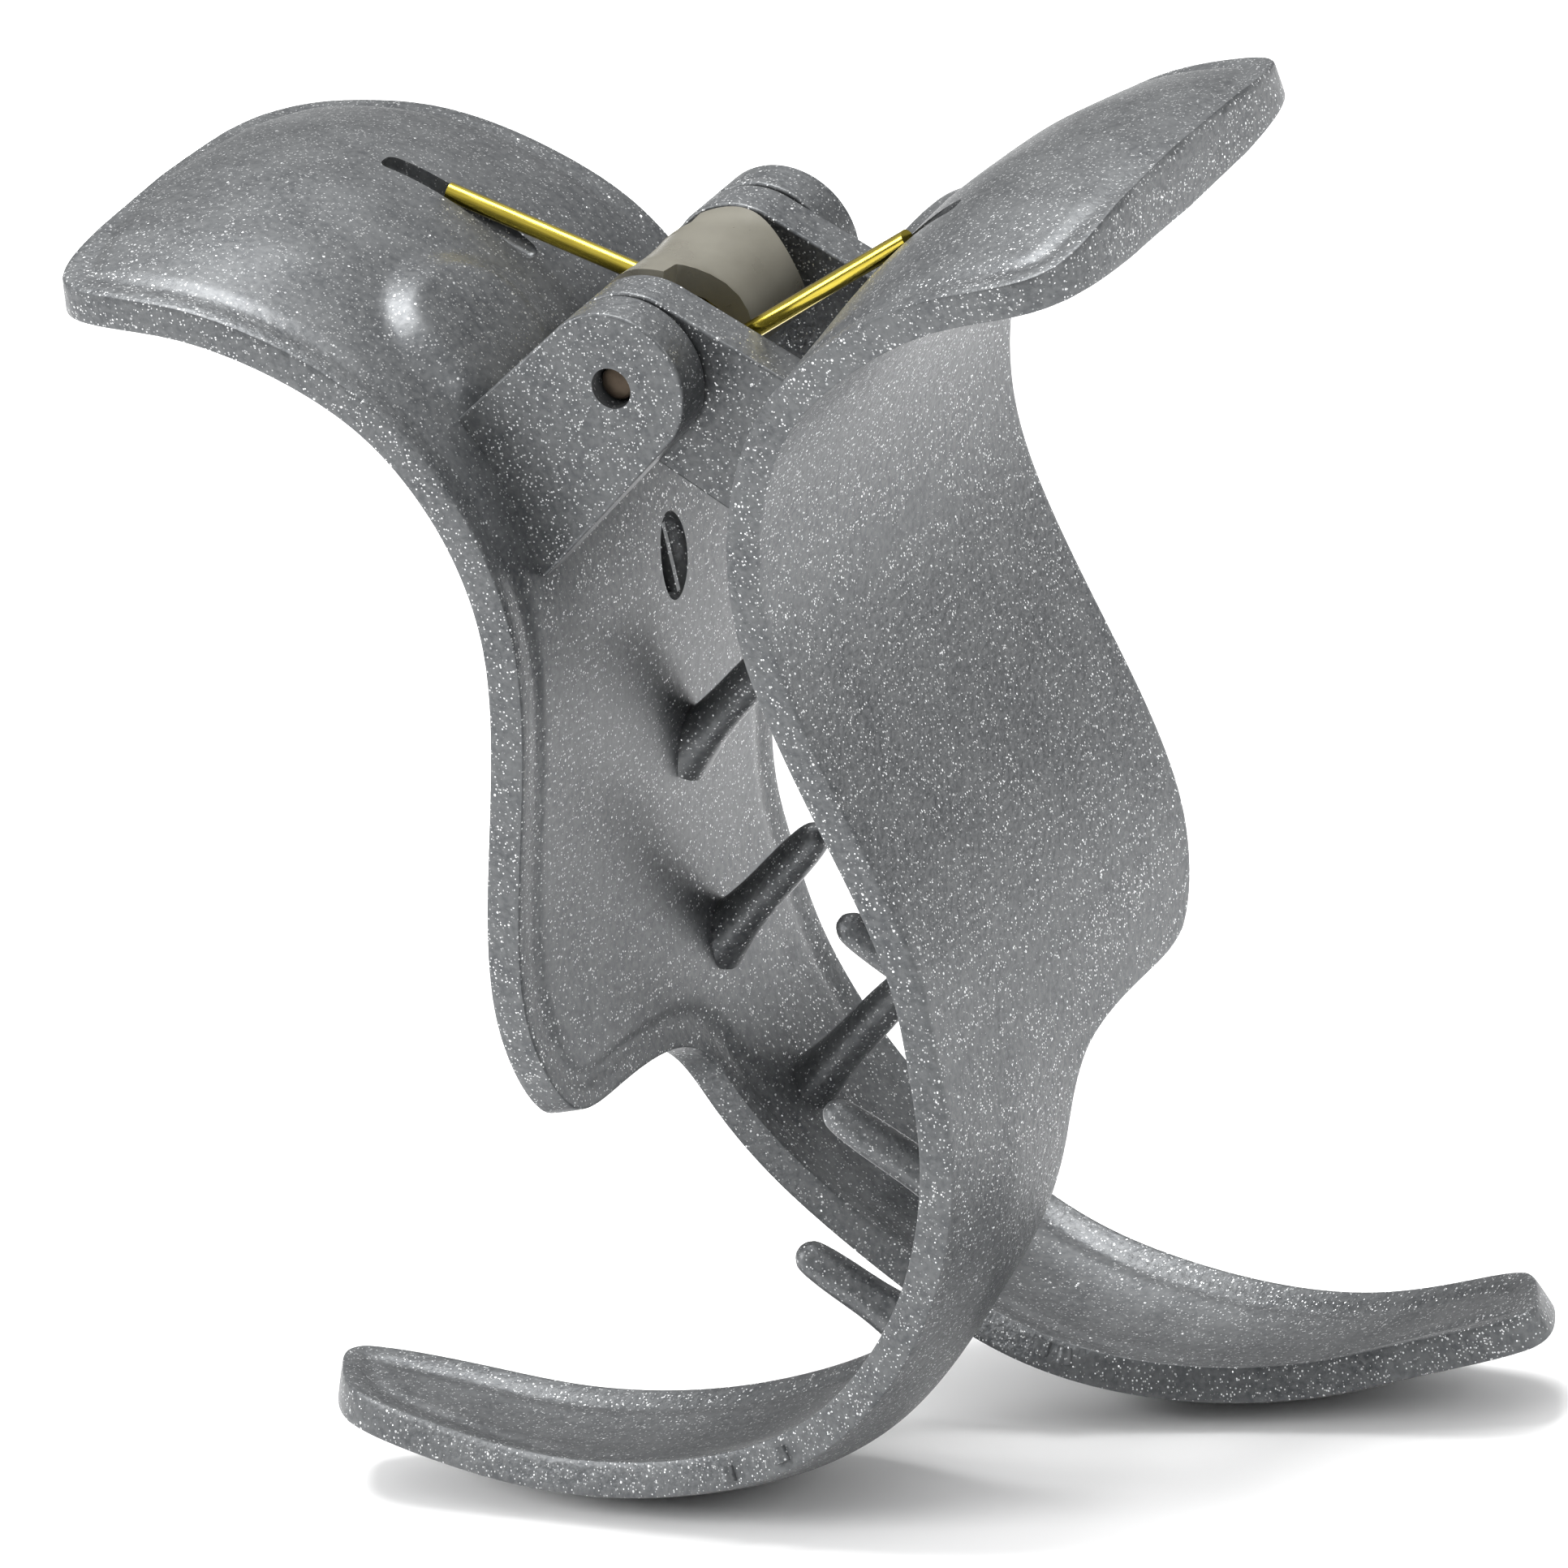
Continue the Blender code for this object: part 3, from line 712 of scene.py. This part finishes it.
# %% Sweep the wire
def wire_nodes(finish):
    tree = bpy.data.node_groups.new("spring_wire", "GeometryNodeTree")
    group_input(tree, "Path", "NodeSocketGeometry")
    radius_id = group_input(tree, "Wire radius", "NodeSocketFloat", 0.0006)
    sides_id = group_input(tree, "Sides", "NodeSocketInt", 20)
    tree.interface.new_socket(name="Wire", in_out="OUTPUT", socket_type="NodeSocketGeometry")
    new, link = tree.nodes.new, tree.links.new
    entry, leave = new("NodeGroupInput"), new("NodeGroupOutput")
    length, turn = new("GeometryNodeSplineParameter"), new("GeometryNodeSplineParameter")
    ring, body = new("GeometryNodeCurvePrimitiveCircle"), new("GeometryNodeCurveToMesh")
    body.inputs["Fill Caps"].default_value = True
    keep_along, keep_around = new("GeometryNodeStoreNamedAttribute"), new("GeometryNodeStoreNamedAttribute")
    keep_along.inputs["Name"].default_value = "along"
    keep_around.inputs["Name"].default_value = "around"
    real, paint = new("GeometryNodeRealizeInstances"), new("GeometryNodeSetMaterial")
    paint.inputs["Material"].default_value = finish
    scale = new("ShaderNodeMath")
    scale.operation = "MULTIPLY"
    scale.inputs[1].default_value = 1000.0
    link(length.outputs["Length"], scale.inputs[0])
    link(entry.outputs["Path"], keep_along.inputs["Geometry"])
    link(scale.outputs[0], keep_along.inputs["Value"])
    link(entry.outputs["Wire radius"], ring.inputs["Radius"])
    link(entry.outputs["Sides"], ring.inputs["Resolution"])
    link(ring.outputs["Curve"], keep_around.inputs["Geometry"])
    link(turn.outputs["Factor"], keep_around.inputs["Value"])
    link(keep_along.outputs["Geometry"], body.inputs["Curve"])
    link(keep_around.outputs["Geometry"], body.inputs["Profile Curve"])
    link(body.outputs["Mesh"], real.inputs["Geometry"])
    link(real.outputs["Geometry"], paint.inputs["Geometry"])
    link(paint.outputs["Geometry"], leave.inputs["Wire"])
    return tree, radius_id, sides_id


def sweep_wire(points):
    curve = bpy.data.curves.new("wire_line", "CURVE")
    curve.dimensions = "3D"
    spline = curve.splines.new("POLY")
    spline.points.add(len(points) - 1)
    for spot, p in zip(spline.points, points):
        spot.co = (*p, 1.0)
    line = bpy.data.objects.new("wire_line", curve)
    bpy.context.scene.collection.objects.link(line)
    tree, radius_id, sides_id = wire_nodes(gilt_wire)
    mod = line.modifiers.new("wire", "NODES")
    mod.node_group = tree
    mod[radius_id], mod[sides_id] = WIRE_R, 20
    deps = bpy.context.evaluated_depsgraph_get()
    mesh = bpy.data.meshes.new_from_object(line.evaluated_get(deps), depsgraph=deps)
    bpy.data.objects.remove(line)
    obj = bpy.data.objects.new("spring_wire", mesh)
    bpy.context.scene.collection.objects.link(obj)
    mesh.polygons.foreach_set("use_smooth", [True] * len(mesh.polygons))
    return obj


spring = sweep_wire(wire_line)
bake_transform(spring)
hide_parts("torsion_spring")
print("spring:", len(spring.data.polygons), "faces")

# %% [markdown]
# ## The cover
# A thick, soft sleeve of smoky plastic sits over the coil and keeps hair out of it. Its
# edges draw back where the legs come out. We lay it out as rows of arcs about the pin,
# thicken them, and round the edges with a bevel.

# %% Cover over the coil
COVER_R, COVER_T, COVER_HALF, COVER_FLARE = 3.0, 1.8, 5.2, 0.35
COVER_ENDS, NOTCH_TURN = (-22.0, 200.0), 96.0      # degrees
NOTCH_START, NOTCH_RUN = 2.1, 1.6


def cover_edges(y):
    def notch(t):
        t = min(max((t - NOTCH_START) / NOTCH_RUN, 0.0), 1.0)
        return t * t * (3.0 - 2.0 * t)
    low, high = COVER_ENDS
    return math.radians(low + NOTCH_TURN * notch(-y)), math.radians(high - NOTCH_TURN * notch(y))


def cover(arcs=56, rows=72):
    bm, grid = bmesh.new(), []
    for i in range(rows + 1):
        y = COVER_HALF * (2.0 * i / rows - 1.0)
        low, high = cover_edges(y)
        r = COVER_R + COVER_T / 2 + COVER_FLARE * (y / COVER_HALF) ** 2
        line = []
        for k in range(arcs + 1):
            a = low + (high - low) * k / arcs
            # the ends wander along the pin and curl a little, as soft plastic does
            cut = y * (1.0 - 0.20 * (0.5 + 0.5 * math.sin(3.4 * a + 0.5)))
            curl = r + 0.16 * math.sin(2.6 * a) * (y / COVER_HALF) ** 4
            line.append(bm.verts.new(at(curl * math.cos(a), cut, curl * math.sin(a))))
        grid.append(line)
    for a, b in zip(grid, grid[1:]):
        for k in range(arcs):
            bm.faces.new((a[k], a[k + 1], b[k + 1], b[k]))
    bmesh.ops.recalc_face_normals(bm, faces=bm.faces)
    obj = put("coil_cover", bm)
    modify(obj, "SOLIDIFY", thickness=COVER_T * MM, offset=0.0)
    modify(obj, "BEVEL", width=0.12 * MM, segments=3, limit_method="ANGLE", angle_limit=math.radians(50.0))
    return plain(obj)


def smoky_plastic():
    mat, tree, shader = finish_tree("smoky_plastic")
    place = tree.nodes.new("ShaderNodeTexCoord").outputs["Object"]
    cloud = noise(tree, place, 420.0, 3.0)
    smoke = blend_colour(tree, cloud, (0.155, 0.145, 0.115), (0.25, 0.238, 0.195))
    tree.links.new(smoke, shader.inputs["Base Color"])
    tree.links.new(span(tree, cloud, 0.3, 0.7, 0.26, 0.36), shader.inputs["Roughness"])
    shader.inputs["Transmission Weight"].default_value = 0.3
    shader.inputs["IOR"].default_value = 1.46
    return mat


sleeve = cover()
sleeve.data.materials.append(smoky_plastic())
soften(sleeve)
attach(sleeve, "cover")
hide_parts("spring_cover")
print("cover:", len(sleeve.data.polygons), "faces")

# %% [markdown]
# ## The pin
# A plain length of drawn wire with its ends just broken, sunk a little inside the ears.
# A turned profile suits it, and its finish has the fine rings that drawing leaves. Its brown is kept far
# darker than steel, as painted shade for the deep bore in the ears.

# %% Turn the pin
def turned_pin(radius=1.15, half=11.1, sides=64):
    profile = [(0.0, -half), (radius - 0.28, -half), (radius - 0.09, -half + 0.08), (radius, -half + 0.27)]
    profile += [(r, -y) for r, y in reversed(profile)]
    bm, loops = bmesh.new(), []
    for r, y in profile:
        if r == 0.0:
            loops.append([bm.verts.new(at(0, y, 0))])
            continue
        loops.append([bm.verts.new(at(r * math.cos(t), y, r * math.sin(t)))
                      for t in (2 * math.pi * k / sides for k in range(sides))])
    for a, b in zip(loops, loops[1:]):
        for k in range(sides):
            m = (k + 1) % sides
            ring = [a[k % len(a)], a[m % len(a)], b[m % len(b)], b[k % len(b)]]
            bm.faces.new(list(dict.fromkeys(ring)))
    bmesh.ops.recalc_face_normals(bm, faces=bm.faces)
    return put("pin_wire", bm)


def drawn_steel_and_bore_shade():
    mat, tree, shader = finish_tree("drawn_steel_and_bore_shade")
    place = tree.nodes.new("ShaderNodeTexCoord").outputs["Object"]
    rings = noise(tree, place, 1800.0, 3.0)
    # the pin's own dull brown, darkened well past steel as painted shade for the shadow deep in the ears'
    # bore
    brown_and_bore_shade = blend_colour(tree, rings, (0.030, 0.022, 0.016), (0.095, 0.072, 0.052))
    tree.links.new(brown_and_bore_shade, shader.inputs["Base Color"])
    tree.links.new(span(tree, rings, 0.3, 0.7, 0.34, 0.52), shader.inputs["Roughness"])
    shader.inputs["Metallic"].default_value = 0.9
    return mat


pin = turned_pin()
pin.data.materials.append(drawn_steel_and_bore_shade())
soften(pin)
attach(pin, "left")
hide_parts("hinge_pin")
print("pin:", len(pin.data.polygons), "faces")

# %% [markdown]
# ## Floor, light and camera
# A pale floor that fills the view, one large soft light overhead and a weaker one on
# each side show the flakes without hard shadows. A very long lens from far off keeps the
# clip's true proportions, as a catalogue view does.

# %% Floor
bm = bmesh.new()
bmesh.ops.create_grid(bm, x_segments=1, y_segments=1, size=6.0)
floor = put("floor", bm)
floor.location.z = -0.0002
paper, tree, shader = finish_tree("pale_paper")
shader.inputs["Base Color"].default_value = (0.93, 0.93, 0.93, 1.0)
shader.inputs["Roughness"].default_value = 0.9
floor.data.materials.append(paper)
print("floor set")

# %% Light
def soft_light(name, spot, size, watts):
    lamp = bpy.data.lights.new(name, "AREA")
    lamp.shape, lamp.size, lamp.energy = "DISK", size, watts
    obj = bpy.data.objects.new(name, lamp)
    obj.location = HINGE + Vector(spot)
    obj.rotation_euler = (-Vector(spot)).to_track_quat("-Z", "Y").to_euler()
    bpy.context.scene.collection.objects.link(obj)


world = bpy.data.worlds.new("soft_room")
world.use_nodes = True
room = world.node_tree
facing = room.nodes.new("ShaderNodeTexCoord")
height = room.nodes.new("ShaderNodeSeparateXYZ")
room.links.new(facing.outputs["Generated"], height.inputs[0])
up_there = room.nodes.new("ShaderNodeMapRange")
up_there.interpolation_type = "SMOOTHSTEP"
for key, number in (("From Min", 0.05), ("From Max", 0.85), ("To Min", 0.25), ("To Max", 1.08)):
    up_there.inputs[key].default_value = number
room.links.new(height.outputs["Z"], up_there.inputs["Value"])
room.nodes["Background"].inputs["Color"].default_value = (1.0, 1.0, 1.0, 1.0)
room.links.new(up_there.outputs[0], room.nodes["Background"].inputs["Strength"])
bpy.context.scene.world = world
soft_light("overhead", (-0.1, 0.15, 0.9), 0.55, 11.5)
soft_light("left_side", (-0.75, -0.45, 0.4), 0.4, 5.5)
soft_light("right_side", (0.85, -0.3, 0.3), 0.35, 2.4)
bpy.context.scene.view_settings.view_transform = "Standard"
print("three lamps and a soft room")

# %% Camera
RIGHT, UP = Vector((0.861, 0.461, -0.214)), Vector((0.015, 0.398, 0.917))
BACK = Vector((0.508, -0.794, 0.336))
lens = bpy.data.cameras.new("catalogue_lens")
lens.sensor_width, lens.clip_end = 36.0, 20.0
away, wide = 3.0, 0.0966
aim = HINGE + RIGHT * 0.00594 - UP * 0.02875       # the middle of the clip as it is seen
lens.lens = lens.sensor_width * away / wide
camera = bpy.data.objects.new("catalogue_camera", lens)
bpy.context.scene.collection.objects.link(camera)
camera.matrix_world = (Matrix.Translation(aim + BACK * away)
                       @ Matrix((RIGHT, UP, BACK)).transposed().to_4x4())
bpy.context.scene.camera = camera
print("camera at", [round(v, 2) for v in camera.location])
